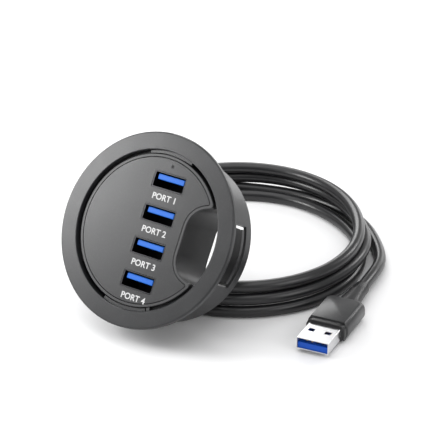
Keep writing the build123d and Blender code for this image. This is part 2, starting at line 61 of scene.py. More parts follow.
# Scales of the slow patterns, per metre.
SLOW_SCALE = 70.0
SMEAR_SCALE = 160.0
HAIR_SCALE = 900.0
DUST_SCALE = 1900.0

# Sockets of a Mix node that mixes colours.
MIX_FACTOR, MIX_FIRST, MIX_SECOND, MIX_RESULT = 0, 6, 7, 2

# Mesh limits: metres between doubles, and the angle past which an edge stays sharp.
DOUBLES = 1e-7
SHARP = math.radians(35)
# Millimetres within which two heights or lengths count as the same.
SAME = 1e-4


class Body(Enum):
    """The two rigid bodies of the hub."""

    PUCK = "puck"
    RING = "ring"


class Grain(Enum):
    """Surface grains, as (pattern scale per metre, depth in metres)."""

    SPARK = (5200.0, 0.000030)
    SATIN = (7600.0, 0.000012)
    BRUSHED = (2600.0, 0.000006)


# ------------------------------------------------------------------ shader building


class Nodes:
    """A node tree with short calls to add and link its nodes."""

    def __init__(self, tree: bpy.types.NodeTree) -> None:
        """Wraps a tree and empties it.

        Args:
            tree: the tree to build in.
        """
        self.tree = tree
        tree.nodes.clear()

    def add(self, kind: str, **values: object) -> bpy.types.Node:
        """Adds a node and sets its properties or input sockets.

        Args:
            kind: the node's type name, without its ShaderNode prefix.
            values: property names, or socket names with underscores for spaces.

        Returns:
            The new node.
        """
        prefix = "" if kind.startswith("NodeGroup") else "ShaderNode"
        node = self.tree.nodes.new(prefix + kind)
        for name, value in values.items():
            socket = name.replace("_", " ")
            if hasattr(node, name):
                setattr(node, name, value)
            else:
                self.put(node, socket, value)
        return node

    def put(self, node: bpy.types.Node, socket: str | int, value: object) -> None:
        """Links a socket to another node's output, or sets its value.

        Args:
            node: the node that has the input.
            socket: the input's name or number.
            value: an output socket to link, or a plain value.
        """
        target = node.inputs[socket]
        if isinstance(value, bpy.types.NodeSocket):
            self.tree.links.new(value, target)
        else:
            target.default_value = value

    def mix(self, factor: object, first: object, second: object,
            blend: str = "MIX") -> bpy.types.NodeSocket:
        """Mixes two colours.

        Args:
            factor: how much of the second colour, as a number or an output socket.
            first: a colour with its alpha, or an output socket.
            second: the same.
            blend: the mixing mode's name.

        Returns:
            The output with the mixed colour.
        """
        node = self.add("Mix", data_type="RGBA", blend_type=blend)
        self.put(node, MIX_FACTOR, factor)
        self.put(node, MIX_FIRST, first)
        self.put(node, MIX_SECOND, second)
        return node.outputs[MIX_RESULT]

    def maths(self, operation: str, first: object, second: object) -> bpy.types.NodeSocket:
        """Works out one value from two.

        Args:
            operation: the Math node's operation.
            first: a number or an output socket.
            second: the same.

        Returns:
            The output with the value.
        """
        node = self.add("Math", operation=operation)
        self.put(node, 0, first)
        self.put(node, 1, second)
        return node.outputs["Value"]

    def between(self, value: bpy.types.NodeSocket, low: float,
                high: float) -> bpy.types.NodeSocket:
        """Stretches a mask over a range.

        Args:
            value: the output with the mask, from 0 to 1.
            low: what 0 becomes.
            high: what 1 becomes.

        Returns:
            The output with the new value.
        """
        return self.add("MapRange", Value=value, To_Min=low, To_Max=high).outputs["Result"]

    def group(self, tree: bpy.types.NodeTree, **values: object) -> bpy.types.Node:
        """Adds a node group and sets its inputs.

        Args:
            tree: the group.
            values: its inputs by name.

        Returns:
            The group's node.
        """
        node = self.add("Group", node_tree=tree)
        for socket, value in values.items():
            self.put(node, socket, value)
        return node


def make_group(name: str, inputs: Sequence[tuple[str, str, float]],
               outputs: Sequence[tuple[str, str]]) -> tuple[bpy.types.NodeTree, Nodes]:
    """Makes an empty shader node group with named sockets.

    Args:
        name: the group's name.
        inputs: (name, socket type, default) of each input.
        outputs: (name, socket type) of each output.

    Returns:
        The group and its node helper.
    """
    group = bpy.data.node_groups.new(name, "ShaderNodeTree")
    for label, kind, default in inputs:
        socket = group.interface.new_socket(label, in_out="INPUT", socket_type=kind)
        if kind == "NodeSocketFloat":
            socket.default_value = default
    for label, kind in outputs:
        group.interface.new_socket(label, in_out="OUTPUT", socket_type=kind)
    return group, Nodes(group)


def grain_group() -> bpy.types.NodeTree:
    """Moulded grain: fine speckle over slow unevenness.

    Returns:
        The group, with outputs Height, Speckle and Slow.
    """
    group, n = make_group(
        "moulded_grain",
        [("Vector", "NodeSocketVector", 0.0), ("Scale", "NodeSocketFloat", Grain.SPARK.value[0])],
        [("Height", "NodeSocketFloat"), ("Speckle", "NodeSocketFloat"), ("Slow", "NodeSocketFloat")])
    source = n.add("NodeGroupInput")
    sink = n.add("NodeGroupOutput")
    place, scale = source.outputs["Vector"], source.outputs["Scale"]
    fine = n.add("TexNoise", Vector=place, Scale=scale, Detail=2.0, Roughness=0.6)
    pits = n.add("TexVoronoi", Vector=place, Scale=scale)
    slow = n.add("TexNoise", Vector=place, Scale=SLOW_SCALE, Detail=3.0)
    height = n.maths("MULTIPLY", fine.outputs["Fac"], pits.outputs["Distance"])
    n.put(sink, "Height", height)
    n.put(sink, "Speckle", fine.outputs["Fac"])
    n.put(sink, "Slow", slow.outputs["Fac"])
    return group


def rub_group() -> bpy.types.NodeTree:
    """Handling marks: broad soft smears that change the gloss, and rare hair scratches.

    Returns:
        The group, with outputs Smear and Scratch.
    """
    group, n = make_group(
        "handling_marks",
        [("Vector", "NodeSocketVector", 0.0), ("Amount", "NodeSocketFloat", 0.5)],
        [("Smear", "NodeSocketFloat"), ("Scratch", "NodeSocketFloat")])
    source = n.add("NodeGroupInput")
    sink = n.add("NodeGroupOutput")
    place, amount = source.outputs["Vector"], source.outputs["Amount"]
    smear = n.add("TexNoise", Vector=place, Scale=SMEAR_SCALE, Detail=4.0, Distortion=0.8)
    stretch = n.add("Mapping", Vector=place, Scale=(1.0, 9.0, 1.0), Rotation=(0.3, 0.2, 0.9))
    hair = n.add("TexNoise", Vector=stretch.outputs["Vector"], Scale=HAIR_SCALE, Detail=1.0)
    rare = n.add("MapRange", Value=hair.outputs["Fac"], From_Min=0.70, From_Max=0.74)
    n.put(sink, "Smear", n.maths("MULTIPLY", smear.outputs["Fac"], amount))
    n.put(sink, "Scratch", n.maths("MULTIPLY", rare.outputs["Result"], amount))
    return group


def dust_group() -> bpy.types.NodeTree:
    """Dust that settles where a surface faces up.

    Returns:
        The group, with output Mask.
    """
    group, n = make_group(
        "settled_dust",
        [("Vector", "NodeSocketVector", 0.0), ("Amount", "NodeSocketFloat", 0.1)],
        [("Mask", "NodeSocketFloat")])
    source = n.add("NodeGroupInput")
    sink = n.add("NodeGroupOutput")
    facing = n.add("SeparateXYZ", Vector=n.add("NewGeometry").outputs["Normal"])
    up = n.add("MapRange", Value=facing.outputs["Z"], From_Min=0.2, From_Max=1.0)
    specks = n.add("TexNoise", Vector=source.outputs["Vector"], Scale=DUST_SCALE, Detail=2.0)
    sparse = n.add("MapRange", Value=specks.outputs["Fac"], From_Min=0.52, From_Max=0.78)
    settled = n.maths("MULTIPLY", up.outputs["Result"], sparse.outputs["Result"])
    n.put(sink, "Mask", n.maths("MULTIPLY", settled, source.outputs["Amount"]))
    return group


GRAIN = grain_group()
RUB = rub_group()
DUST = dust_group()


def tint(colour: Colour, factor: float) -> tuple[float, float, float, float]:
    """A colour made lighter or darker.

    Args:
        colour: red, green and blue, linear.
        factor: what each is multiplied by.

    Returns:
        Red, green, blue and an alpha of 1.
    """
    return (colour[0] * factor, colour[1] * factor, colour[2] * factor, 1.0)


def new_material(name: str) -> tuple[bpy.types.Material, Nodes, bpy.types.Node, bpy.types.Node]:
    """An empty material with its Principled shader.

    Args:
        name: the material's name.

    Returns:
        The material, its node helper, the shader and the coordinates node.
    """
    material = bpy.data.materials.new(name)
    material.use_nodes = True
    n = Nodes(material.node_tree)
    shader = n.add("BsdfPrincipled")
    output = n.add("OutputMaterial")
    n.put(output, "Surface", shader.outputs["BSDF"])
    return material, n, shader, n.add("TexCoord")


@dataclass(frozen=True)
class MouldedFinish:
    """A moulded plastic or rubber: grain, slow shade changes, rubbed gloss and a little dust."""

    colour: Colour
    roughness: float = 0.45
    grain: Grain = Grain.SATIN
    variation: float = 0.12
    handling: float = 0.25
    dust: float = 0.05
    specular: float = 0.5
    dust_colour: Colour = (0.42, 0.41, 0.39)
    speckle: float = 0.18
    gloss_spread: float = 0.05
    grain_strength: float = 0.6
    scratch_depth: float = 0.000004
    scratch_strength: float = 0.5

    def material(self, name: str) -> bpy.types.Material:
        """Builds the material.

        Args:
            name: its name.

        Returns:
            The material.
        """
        material, n, shader, where = new_material(name)
        place = where.outputs["Object"]
        scale, depth = self.grain.value
        grain = n.group(GRAIN, Vector=place, Scale=scale)
        rub = n.group(RUB, Vector=place, Amount=self.handling)
        dust = n.group(DUST, Vector=place, Amount=self.dust)

        shade = n.mix(grain.outputs["Slow"], tint(self.colour, 1 - self.variation),
                      tint(self.colour, 1 + self.variation))
        speckled = n.mix(self.speckle, shade, grain.outputs["Speckle"], "OVERLAY")
        dusty = n.mix(dust.outputs["Mask"], speckled, tint(self.dust_colour, 1.0))
        n.put(shader, "Base Color", dusty)

        gloss = n.add("MapRange", Value=rub.outputs["Smear"], From_Max=self.handling,
                      To_Min=self.roughness + self.gloss_spread,
                      To_Max=self.roughness - self.gloss_spread)
        n.put(shader, "Roughness",
              n.maths("ADD", gloss.outputs["Result"], dust.outputs["Mask"]))
        shader.inputs["Specular IOR Level"].default_value = self.specular

        bump = n.add("Bump", Height=grain.outputs["Height"], Distance=depth,
                     Strength=self.grain_strength)
        cut = n.add("Bump", Height=rub.outputs["Scratch"], Distance=self.scratch_depth,
                    Strength=self.scratch_strength, invert=True, Normal=bump.outputs["Normal"])
        n.put(shader, "Normal", cut.outputs["Normal"])
        return material


@dataclass(frozen=True)
class MetalFinish:
    """A plated or polished metal with fine brushing along one direction."""

    colour: Colour
    roughness: float = 0.25
    stretch: Point = (1.0, 12.0, 1.0)
    tarnish: float = 0.12
    smoother: float = 0.06
    rougher: float = 0.08
    line_strength: float = 0.4

    def material(self, name: str) -> bpy.types.Material:
        """Builds the material.

        Args:
            name: its name.

        Returns:
            The material.
        """
        material, n, shader, where = new_material(name)
        place = where.outputs["Object"]
        along = n.add("Mapping", Vector=place, Scale=self.stretch)
        scale, depth = Grain.BRUSHED.value
        lines = n.add("TexNoise", Vector=along.outputs["Vector"], Scale=scale, Detail=3.0)
        rub = n.group(RUB, Vector=place, Amount=1.0)
        n.put(shader, "Base Color", n.mix(rub.outputs["Smear"], tint(self.colour, 1.0),
                                          tint(self.colour, 1 - self.tarnish)))
        shader.inputs["Metallic"].default_value = 1.0
        n.put(shader, "Roughness", n.between(lines.outputs["Fac"], self.roughness - self.smoother,
                                             self.roughness + self.rougher))
        bump = n.add("Bump", Height=lines.outputs["Fac"], Distance=depth,
                     Strength=self.line_strength)
        n.put(shader, "Normal", bump.outputs["Normal"])
        return material


@dataclass(frozen=True)
class InkFinish:
    """Pad-printed ink: even, slightly broken where the grain shows through."""

    colour: Colour
    broken: float = 0.9
    smoothest: float = 0.38
    roughest: float = 0.52
    grain_depth: float = 0.00001
    grain_strength: float = 0.5

    def material(self, name: str) -> bpy.types.Material:
        """Builds the material.

        Args:
            name: its name.

        Returns:
            The material.
        """
        material, n, shader, where = new_material(name)
        grain = n.group(GRAIN, Vector=where.outputs["Object"], Scale=Grain.SPARK.value[0])
        n.put(shader, "Base Color", n.mix(grain.outputs["Speckle"], tint(self.colour, self.broken),
                                          tint(self.colour, 1.0)))
        n.put(shader, "Roughness",
              n.between(grain.outputs["Slow"], self.smoothest, self.roughest))
        bump = n.add("Bump", Height=grain.outputs["Height"], Distance=self.grain_depth,
                     Strength=self.grain_strength)
        n.put(shader, "Normal", bump.outputs["Normal"])
        return material


@dataclass(frozen=True)
class LaminateFinish:
    """A circuit board: green mask over faint copper tracks."""

    mask: Colour
    track: Colour
    track_scale: float = 420.0
    track_width: float = 0.03
    track_depth: float = 0.00002
    patch_scale: float = 300.0
    smoothest: float = 0.25
    roughest: float = 0.4

    def material(self, name: str) -> bpy.types.Material:
        """Builds the material.

        Args:
            name: its name.

        Returns:
            The material.
        """
        material, n, shader, where = new_material(name)
        place = where.outputs["Object"]
        tracks = n.add("TexBrick", Vector=place, Scale=self.track_scale,
                       Color1=tint(self.mask, 1.0), Color2=tint(self.mask, 0.8),
                       Mortar=tint(self.track, 1.0), Mortar_Size=self.track_width)
        n.put(shader, "Base Color", tracks.outputs["Color"])
        patches = n.add("TexNoise", Vector=place, Scale=self.patch_scale)
        n.put(shader, "Roughness",
              n.between(patches.outputs["Fac"], self.smoothest, self.roughest))
        bump = n.add("Bump", Height=tracks.outputs["Fac"], Distance=self.track_depth)
        n.put(shader, "Normal", bump.outputs["Normal"])
        return material


@dataclass(frozen=True)
class ClearFinish:
    """A glossy moulding with a faint change of shade, for the light and its pipe."""

    colour: Colour
    roughness: float = 0.15
    rougher: float = 0.1
    patch_scale: float = 900.0
    darker: float = 0.8
    coat: float = 0.6

    def material(self, name: str) -> bpy.types.Material:
        """Builds the material.

        Args:
            name: its name.

        Returns:
            The material.
        """
        material, n, shader, where = new_material(name)
        patches = n.add("TexNoise", Vector=where.outputs["Object"], Scale=self.patch_scale)
        n.put(shader, "Base Color", n.mix(patches.outputs["Fac"], tint(self.colour, self.darker),
                                          tint(self.colour, 1.0)))
        n.put(shader, "Roughness", n.between(patches.outputs["Fac"], self.roughness,
                                             self.roughness + self.rougher))
        shader.inputs["Coat Weight"].default_value = self.coat
        return material


@dataclass(frozen=True)
class SocketFinish:
    """A socket's insulator: a coloured tongue painted darker, into near-black, deeper in the socket, as painted
    shade of the socket's inside.

    The change of colour ends at the level, in metres above the flange's underside, and takes up
    the blend's depth below it.
    """

    tongue: Colour
    painted_shade_colour: Colour
    level: float
    blend: float
    variation: float = 0.08
    smoothest: float = 0.34
    roughest: float = 0.5
    grain_depth: float = 0.00001
    grain_strength: float = 0.5
    specular: float = 0.3

    def material(self, name: str) -> bpy.types.Material:
        """Builds the material.

        Args:
            name: its name.

        Returns:
            The material.
        """
        material, n, shader, where = new_material(name)
        place = where.outputs["Object"]
        away = n.add("VectorMath", operation="SUBTRACT")
        n.put(away, 0, place)
        n.put(away, 1, HUB.translation)
        height = n.add("VectorMath", operation="DOT_PRODUCT")
        n.put(height, 0, away.outputs["Vector"])
        n.put(height, 1, HUB.col[2].xyz)
        # Painted shade: the mask is 0 deep in the socket, where the tongue turns near-black, and 1 from the level
        # out.
        part = n.add("MapRange", Value=height.outputs["Value"], From_Min=self.level - self.blend,
                     From_Max=self.level)
        grain = n.group(GRAIN, Vector=place, Scale=Grain.SATIN.value[0])
        vivid = n.mix(grain.outputs["Slow"], tint(self.tongue, 1 - self.variation),
                      tint(self.tongue, 1 + self.variation))
        n.put(shader, "Base Color",
              n.mix(part.outputs["Result"], tint(self.painted_shade_colour, 1.0), vivid))
        n.put(shader, "Roughness",
              n.between(grain.outputs["Speckle"], self.smoothest, self.roughest))
        bump = n.add("Bump", Height=grain.outputs["Height"], Distance=self.grain_depth,
                     Strength=self.grain_strength)
        n.put(shader, "Normal", bump.outputs["Normal"])
        shader.inputs["Specular IOR Level"].default_value = self.specular
        return material


Finish = MouldedFinish | MetalFinish | InkFinish | LaminateFinish | ClearFinish | SocketFinish


# ------------------------------------------------------------------ mesh helpers


def new_piece(name: str, bm: bmesh.types.BMesh, finish: bpy.types.Material,
              body: Body = Body.PUCK, smooth: bool = True) -> bpy.types.Object:
    """Turns a bmesh into a piece of the hub.

    Args:
        name: the piece's name.
        bm: its mesh, in the row frame; it is freed.
        finish: its material.
        body: the body that it rides on.
        smooth: whether its faces are smooth shaded.

    Returns:
        The new object.
    """
    bmesh.ops.remove_doubles(bm, verts=bm.verts, dist=DOUBLES)
    bmesh.ops.recalc_face_normals(bm, faces=bm.faces)
    mesh = bpy.data.meshes.new(name)
    bm.to_mesh(mesh)
    bm.free()
    piece = bpy.data.objects.new(name, mesh)
    bpy.context.scene.collection.objects.link(piece)
    mesh.materials.append(finish)
    if smooth:
        mesh.shade_smooth()
        mesh.set_sharp_from_angle(angle=SHARP)
    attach(piece, body.value)
    LOG.info("%s: %d faces on %s", name, len(mesh.polygons), body.value)
    return piece


def dress(finishes: dict[str, Finish]) -> None:
    """Gives CAD nodes their finishes, each in a material of its own.

    Args:
        finishes: the finish of each node, by the node's name.
    """
    for node, finish in finishes.items():
        material = finish.material(node)
        for place in frame["nodes"][node].material_slots:
            place.material = material
        LOG.info("%s: dressed in %s", node, material.name)


def hub_matrix() -> Matrix:
    """The hub's own frame: Z out of the face, X to the right, zero on the flange's underside.

    Returns:
        The matrix from the hub's frame to the row frame.
    """
    lock = frame["joints"][0]
    out = Vector(lock["axis"]).normalized()
    right = Vector((1.0, 0.0, 0.0))
    up = out.cross(right)
    turn = Matrix((right, up, out)).transposed().to_4x4()
    return Matrix.Translation(Vector(lock["pos_m"])) @ turn


def mount(name: str) -> dict:
    """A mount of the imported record.

    Args:
        name: its name.

    Returns:
        The mount's entry.
    """
    return next(m for m in frame["record"]["mounts"] if m["name"] == name)


HUB = hub_matrix()
HUB_MM = HUB @ Matrix.Scale(MM, 4)


def plug_matrix() -> Matrix:
    """The plug's own frame, in millimetres: Y back from the shell's front edge, Z up, floor at 0.

    Returns:
        The matrix from the plug's frame to the row frame.
    """
    place = mount("plug")
    back = -Vector(place["axis"]).normalized()
    up = Vector((0.0, 0.0, 1.0))
    turn = Matrix((back.cross(up), back, up)).transposed().to_4x4()
    spot = Vector(place["pos_m"])
    return Matrix.Translation((spot.x, spot.y, 0.0)) @ turn @ Matrix.Scale(MM, 4)


def edges_where(bm: bmesh.types.BMesh,
                test: Callable[[Vector, Vector], bool]) -> list[bmesh.types.BMEdge]:
    """The edges whose two ends pass a test.

    Args:
        bm: the mesh.
        test: takes the places of an edge's ends.

    Returns:
        The edges.
    """
    return [e for e in bm.edges if test(e.verts[0].co, e.verts[1].co)]


def round_edges(bm: bmesh.types.BMesh, edges: Sequence, radius: float, segments: int) -> None:
    """Rounds edges.

    Args:
        bm: the mesh.
        edges: the edges.
        radius: the rounding's radius.
        segments: how many faces it has across.
    """
    bmesh.ops.bevel(bm, geom=list(edges), offset=radius, segments=segments, profile=0.5,
                    affect="EDGES", material=-1, clamp_overlap=True)


def make_block(bm: bmesh.types.BMesh, low: Point, high: Point) -> None:
    """Adds a block between two corners.

    Args:
        bm: the mesh.
        low: its lowest corner.
        high: its highest corner.
    """
    size = [b - a for a, b in zip(low, high)]
    middle = [(a + b) / 2 for a, b in zip(low, high)]
    bmesh.ops.create_cube(bm, size=1.0, matrix=Matrix.Translation(middle) @ Matrix.Diagonal(
        (*size, 1.0)))


def turned(profile: Sequence[tuple[float, float]], steps: int) -> bmesh.types.BMesh:
    """A turned solid about Z.

    Args:
        profile: (radius, height) along its side, closed on the axis at both ends.
        steps: how many faces it has round.

    Returns:
        The mesh.
    """
    bm = bmesh.new()
    line = [bm.verts.new((radius, 0.0, height)) for radius, height in profile]
    edges = [bm.edges.new(pair) for pair in zip(line, line[1:])]
    bmesh.ops.spin(bm, geom=line + edges, cent=(0, 0, 0), axis=(0, 0, 1), angle=2 * math.pi,
                   steps=steps, use_merge=True)
    return bm


# ------------------------------------------------------------------ camera, floor and lights


def seen_from(azimuth: float, elevation: float) -> Vector:
    """The direction from the hub towards a camera or a light.

    Args:
        azimuth: degrees round from the hub's front towards its right.
        elevation: degrees above the floor.

    Returns:
        The direction, one metre long.
    """
    a, e = math.radians(azimuth), math.radians(elevation)
    return Vector((math.sin(a) * math.cos(e), -math.cos(a) * math.cos(e), math.sin(e)))


def place_facing(name: str, data: bpy.types.ID, spot: Vector, out: Vector,
                 reach: float) -> bpy.types.Object:
    """Places a camera or a light so that it looks at a spot.

    Args:
        name: its name.
        data: its camera or light data.
        spot: what it looks at.
        out: the direction from the spot towards it.
        reach: its distance in metres.

    Returns:
        The new object.
    """
    thing = bpy.data.objects.new(name, data)
    thing.location = spot + out * reach
    thing.rotation_euler = (-out).to_track_quat("-Z", "Y").to_euler()
    return thing


@dataclass(frozen=True)
class Softbox:
    """A square soft light: its place round the hub, its side in metres, watts and distance."""

    name: str
    azimuth: float
    elevation: float
    size: float
    watts: float
    reach: float = 1.3
    spot: Point = (0.0, 0.02, 0.02)

    def build(self) -> None:
        """Adds the light."""
        data = bpy.data.lights.new(self.name, "AREA")
        data.shape = "SQUARE"
        data.size = self.size
        data.energy = self.watts
        light = place_facing(self.name, data, Vector(self.spot),
                             seen_from(self.azimuth, self.elevation), self.reach)
        light.visible_camera = False
        bpy.context.scene.collection.objects.link(light)


@dataclass
class Studio:
    """A pale floor, soft lights and the camera."""

    aim: Point = (-20.7 * MM, 70.93 * MM, 0.0)
    azimuth: float = 34.17
    elevation: float = 27.06
    distance: float = 802.2 * MM
    lens: float = 165.17
    nearest: float = 0.01
    floor_size: float = 6.0
    floor_colour: Colour = (0.90, 0.90, 0.905)
    floor_shade: float = 0.995
    floor_patches: float = 3.0
    floor_roughness: float = 0.7
    floor_specular: float = 0.2
    surroundings: float = 0.5
    softboxes: tuple[Softbox, ...] = (
        Softbox("overhead", 0.0, 84.0, 1.5, 10.5),
        Softbox("key", -52.0, 28.0, 0.12, 0.64, 0.3),
        Softbox("edge", 84.0, 24.0, 0.25, 0.5, 0.5),
        Softbox("rim", 224.0, 26.0, 0.30, 1.2, 0.6),
        Softbox("line", 160.0, 22.0, 0.14, 0.5, 0.6),
        Softbox("skirt", 184.0, 7.0, 0.18, 0.2, 0.6))

    def camera(self) -> None:
        """Sets the camera that looks down at the hub from its front right."""
        data = bpy.data.cameras.new("camera")
        data.lens = self.lens
        data.clip_start = self.nearest
        camera = place_facing("camera", data, Vector(self.aim),
                              seen_from(self.azimuth, self.elevation), self.distance)
        bpy.context.scene.collection.objects.link(camera)
        bpy.context.scene.camera = camera

    def floor(self) -> None:
        """Makes the plain floor that the hub stands on."""
        bm = bmesh.new()
        bmesh.ops.create_grid(bm, x_segments=1, y_segments=1, size=self.floor_size / 2)
        mesh = bpy.data.meshes.new("floor")
        bm.to_mesh(mesh)
        bm.free()
        floor = bpy.data.objects.new("floor", mesh)
        material, n, shader, where = new_material("floor_card")
        patches = n.add("TexNoise", Vector=where.outputs["Object"], Scale=self.floor_patches)
        n.put(shader, "Base Color",
              n.mix(patches.outputs["Fac"], tint(self.floor_colour, self.floor_shade),
                    tint(self.floor_colour, 1.0)))
        shader.inputs["Roughness"].default_value = self.floor_roughness
        shader.inputs["Specular IOR Level"].default_value = self.floor_specular
        mesh.materials.append(material)
        bpy.context.scene.collection.objects.link(floor)

    def lights(self) -> None:
        """Sets the soft studio light and the pale surroundings."""
        world = bpy.data.worlds.new("surroundings")
        bpy.context.scene.world = world
        world.use_nodes = True
        sky = world.node_tree.nodes["Background"]
        sky.inputs["Color"].default_value = (1.0, 1.0, 1.0, 1.0)
        sky.inputs["Strength"].default_value = self.surroundings
        for softbox in self.softboxes:
            softbox.build()
        bpy.context.scene.view_settings.view_transform = "Standard"


# ------------------------------------------------------------------ cable


@dataclass
class Cable:
    """The captive cable: a free lead out of the gland, a coil and a free tail into the plug.

    The lead and the tail are points in millimetres. The stations give the coil's angle in degrees,
    its radius and its height, and the turns follow a smooth line through them.
    """

    diameter: float = 4.5 * MM
    length: float = 1.12
    lead: tuple[Point, ...] = (
        (-16.0, 22.3, 21.3), (-16.0, 34.1, 13.8), (-22.0, 44.7, 8.0), (-32.3, 51.1, 3.6),
        (-39.2, 61.1, 2.3), (-40.3, 73.3, 2.3), (-35.8, 84.5, 2.3))
    tail: tuple[Point, ...] = (
        (42.1, 82.9, 2.3), (48.4, 73.3, 2.7), (51.8, 62.3, 3.9), (53.6, 51.4, 3.9))
    coil_centre: tuple[float, float] = (-5.0, 56.0)
    turn_points: int = 24
    first_angle: float = 52.0
    last_angle: float = 1212.0
    stations: tuple[tuple[float, float, float], ...] = (
        (52, 42.2, 2.3), (90, 43.5, 2.3), (120, 44.1, 2.3), (145, 46.4, 2.3), (170, 49.2, 2.3),
        (195, 51.7, 2.3), (215, 52.4, 2.3), (235, 52.2, 2.3), (270, 50.6, 2.3), (300, 49.6, 2.4),
        (330, 49.0, 3.0), (360, 48.4, 4.3), (385, 48.5, 5.8), (415, 49.2, 7.0), (440, 49.6, 7.1),
        (460, 49.0, 7.0), (480, 47.8, 7.0), (495, 47.9, 7.0), (512, 49.2, 7.0), (530, 49.6, 7.0),
        (546, 50.0, 7.0), (565, 51.2, 7.0), (593, 51.8, 7.0), (630, 50.2, 7.0), (660, 48.8, 7.3),
        (690, 48.3, 8.0), (720, 48.6, 9.4), (745, 48.9, 10.6), (775, 48.4, 11.5),
        (810, 48.0, 11.5), (840, 46.6, 11.5), (860, 46.1, 11.5), (872, 46.4, 11.5),
        (886, 47.4, 11.5), (900, 48.6, 11.5), (915, 49.8, 11.5), (942, 50.9, 11.5),
        (960, 50.5, 11.5), (990, 48.6, 11.5), (1020, 48.2, 11.8), (1050, 50.9, 12.0),
        (1080, 53.5, 9.2), (1105, 53.6, 5.0), (1125, 51.3, 2.7), (1142, 48.1, 2.3),
        (1165, 48.5, 2.3), (1185, 49.8, 2.3), (1200, 51.2, 2.3), (1212, 52.2, 2.3))

    def coil_place(self, angle: float) -> Point:
        """A point of the coil, in millimetres.

        Args:
            angle: degrees wound since the left of the coil, clockwise from above.

        Returns:
            The point.
        """
        marks = self.stations
        last = len(marks) - 1
        i = next((k for k in range(last) if angle <= marks[k + 1][0]), last - 1)
        before, start, end, after = (marks[min(max(k, 0), last)] for k in range(i - 1, i + 3))
        span = end[0] - start[0]
        t = (angle - start[0]) / span

        def between(axis: int) -> float:
            """A smooth value between two stations, which leaves each along its neighbours' line.

            Args:
                axis: 1 for the radius, 2 for the height.

            Returns:
                The value in millimetres.
            """
            leave = (end[axis] - before[axis]) / (end[0] - before[0]) * span
            arrive = (after[axis] - start[axis]) / (after[0] - start[0]) * span
            a, b = start[axis], end[axis]
            curve = 2 * (a - b) + leave + arrive
            return a + t * (leave + t * (b - a - leave - curve + t * curve))

        half_step = math.pi / self.turn_points
        radius = between(1) / math.cos(half_step)
        turn = math.radians(angle)
        return (self.coil_centre[0] - radius * math.cos(turn),
                self.coil_centre[1] + radius * math.sin(turn), between(2))

    def route(self) -> list[Point]:
        """All the cable's points from the gland to the plug.

        Returns:
            The points in millimetres.
        """
        wound = self.last_angle - self.first_angle
        count = round(wound / (360.0 / self.turn_points))
        step = wound / count
        coil = [self.coil_place(self.first_angle + step * i) for i in range(count + 1)]
        return [*self.lead, *coil, *self.tail]

    def build(self, finish: bpy.types.Material, with_pieces: Sequence[object]) -> None:
        """Makes the cable as one smooth curve.

        Args:
            finish: the jacket's material.
            with_pieces: the pieces on the cable, CAD nodes among them; not used.
        """
        data = bpy.data.curves.new("cable", "CURVE")
        data.dimensions = "3D"
        spline = data.splines.new("NURBS")
        route = self.route()
        spline.points.add(len(route) - 1)
        for point, place in zip(spline.points, route):
            point.co = (place[0] * MM, place[1] * MM, place[2] * MM, 1.0)
        spline.order_u = 3
        spline.use_endpoint_u = True
        spline.resolution_u = 5
        spline.use_smooth = True
        data.bevel_depth = self.diameter / 2
        data.bevel_resolution = 8
        data.use_fill_caps = True
        data.materials.append(finish)
        cable = bpy.data.objects.new("cable", data)
        bpy.context.scene.collection.objects.link(cable)
        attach(cable, Body.PUCK.value)
        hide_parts("cord_lead", "cord_coil", "cord_tail")
        LOG.info("cable: %d points", len(route))


# ------------------------------------------------------------------ hub details


@dataclass
class PortLabels:
    """The printed words below the four sockets, in millimetres of the hub's frame."""

    drop: float = 5.9
    shift: float = 0.1
    letter: float = 3.1
    bold: float = 0.06
    thick: float = 0.02
    above: float = 1.16
    curve_steps: int = 3

    def build(self, finish: bpy.types.Material) -> None:
        """Prints one label below each socket.

        Args:
            finish: the ink.
        """
        for number in PORTS:
            spot = HUB.inverted() @ Vector(mount(f"port_{number}")["pos_m"])
            words = bpy.data.curves.new(f"words_{number}", "FONT")
            words.body = f"PORT {number}"
            words.size = self.letter
            words.offset = self.bold
            words.extrude = self.thick
            words.align_x = "CENTER"
            words.align_y = "CENTER"
            words.resolution_u = self.curve_steps
            maker = bpy.data.objects.new(f"words_{number}", words)
            mesh = bpy.data.meshes.new_from_object(maker)
            bpy.data.objects.remove(maker)
            bm = bmesh.new()
            bm.from_mesh(mesh)
            bpy.data.meshes.remove(mesh)
            place = Matrix.Translation((spot.x / MM + self.shift, spot.y / MM - self.drop,
                                        self.above))
            bmesh.ops.transform(bm, matrix=HUB_MM @ place, verts=bm.verts)
            new_piece(f"port_{number}_label", bm, finish, smooth=False)


@dataclass
class GripPad:
    """The soft crowned pad on the ring's spring tongue, a little thicker than its CAD solid."""

    proud: float = 0.35
    corner: float = 1.3
    corner_segments: int = 5
    crown: float = 0.5
    crown_segments: int = 4
    cuts: int = 36

    def build(self, finish: bpy.types.Material) -> None:
        """Makes the pad flat, rounds it, then wraps it round the ring's skirt.

        Args:
            finish: its rubber, near-black also as painted shade in the skirt's window.
        """
        inner, skirt, start, end, low, high = hub_polar("grip_pad")
        outer = skirt + self.proud
        reach = math.radians((end - start) / 2) * outer
        bm = bmesh.new()
        make_block(bm, (-reach, low, inner), (reach, high, outer))
        upright = edges_where(bm, lambda a, b: abs(a.z - b.z) > SAME)
        round_edges(bm, upright, self.corner, self.corner_segments)
        rim = edges_where(bm, lambda a, b: min(a.z, b.z) > outer - SAME)
        round_edges(bm, rim, self.crown, self.crown_segments)
        for step in range(1, self.cuts):
            bmesh.ops.bisect_plane(bm, geom=bm.verts[:] + bm.edges[:] + bm.faces[:],
                                   plane_co=(reach * (2 * step / self.cuts - 1), 0, 0),
                                   plane_no=(1, 0, 0))
        middle = math.radians((start + end) / 2)
        for vert in bm.verts:
            along, height, radius = vert.co
            turn = middle + along / outer
            vert.co = (radius * math.cos(turn), radius * math.sin(turn), height)
        bmesh.ops.transform(bm, matrix=HUB_MM, verts=bm.verts)
        pad = new_piece("soft_pad", bm, finish, Body.RING)
        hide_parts("grip_pad")


